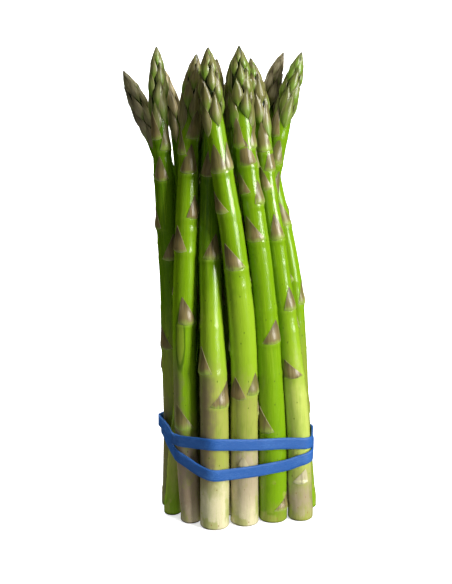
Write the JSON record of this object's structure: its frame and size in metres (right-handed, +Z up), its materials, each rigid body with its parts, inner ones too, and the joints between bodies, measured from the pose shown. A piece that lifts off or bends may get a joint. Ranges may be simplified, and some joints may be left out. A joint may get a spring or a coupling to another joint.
{
  "type": "bundle of asparagus",
  "caption": "Bundle of fresh green asparagus spears standing upright on their cut ends, held low down by a blue rubber band wound round twice.",
  "frame": {"origin": "middle of the bounding box on the floor plane, at the level of the cut ends", "axes": "+Z up along the spears, -Y towards the side that the picture shows, +X to the right seen from there"},
  "size_m": [0.0932, 0.0492, 0.225],
  "materials": {
    "spear_left": "fresh green asparagus skin, satin",
    "spear_slim_left": "fresh green asparagus skin, satin",
    "spear_front_left": "fresh green asparagus skin, satin",
    "spear_front": "fresh green asparagus skin, satin",
    "spear_front_middle": "fresh green asparagus skin, satin",
    "spear_front_right": "fresh green asparagus skin, satin",
    "spear_right": "fresh green asparagus skin, satin",
    "spear_far_right": "fresh green asparagus skin, satin",
    "spear_leaning_left": "fresh green asparagus skin, satin",
    "spear_leaning_right": "fresh green asparagus skin, satin",
    "spear_middle": "fresh green asparagus skin, satin",
    "spear_inner_right": "fresh green asparagus skin, satin",
    "spear_inner_left": "fresh green asparagus skin, satin",
    "spear_back_middle": "fresh green asparagus skin, satin",
    "spear_back_right": "fresh green asparagus skin, satin",
    "spear_far_back": "fresh green asparagus skin, satin",
    "rubber_band": "blue rubber, satin with fine creases"
  },
  "bodies": {
    "root": {"spear_left": "spear_left", "spear_slim_left": "spear_slim_left", "spear_front_left": "spear_front_left", "spear_front": "spear_front", "spear_front_middle": "spear_front_middle", "spear_front_right": "spear_front_right", "spear_right": "spear_right", "spear_far_right": "spear_far_right", "spear_leaning_left": "spear_leaning_left", "spear_leaning_right": "spear_leaning_right", "spear_middle": "spear_middle", "spear_inner_right": "spear_inner_right", "spear_inner_left": "spear_inner_left", "spear_back_middle": "spear_back_middle", "spear_back_right": "spear_back_right", "spear_far_back": "spear_far_back", "rubber_band": "rubber_band"}
  },
  "joints": []
}
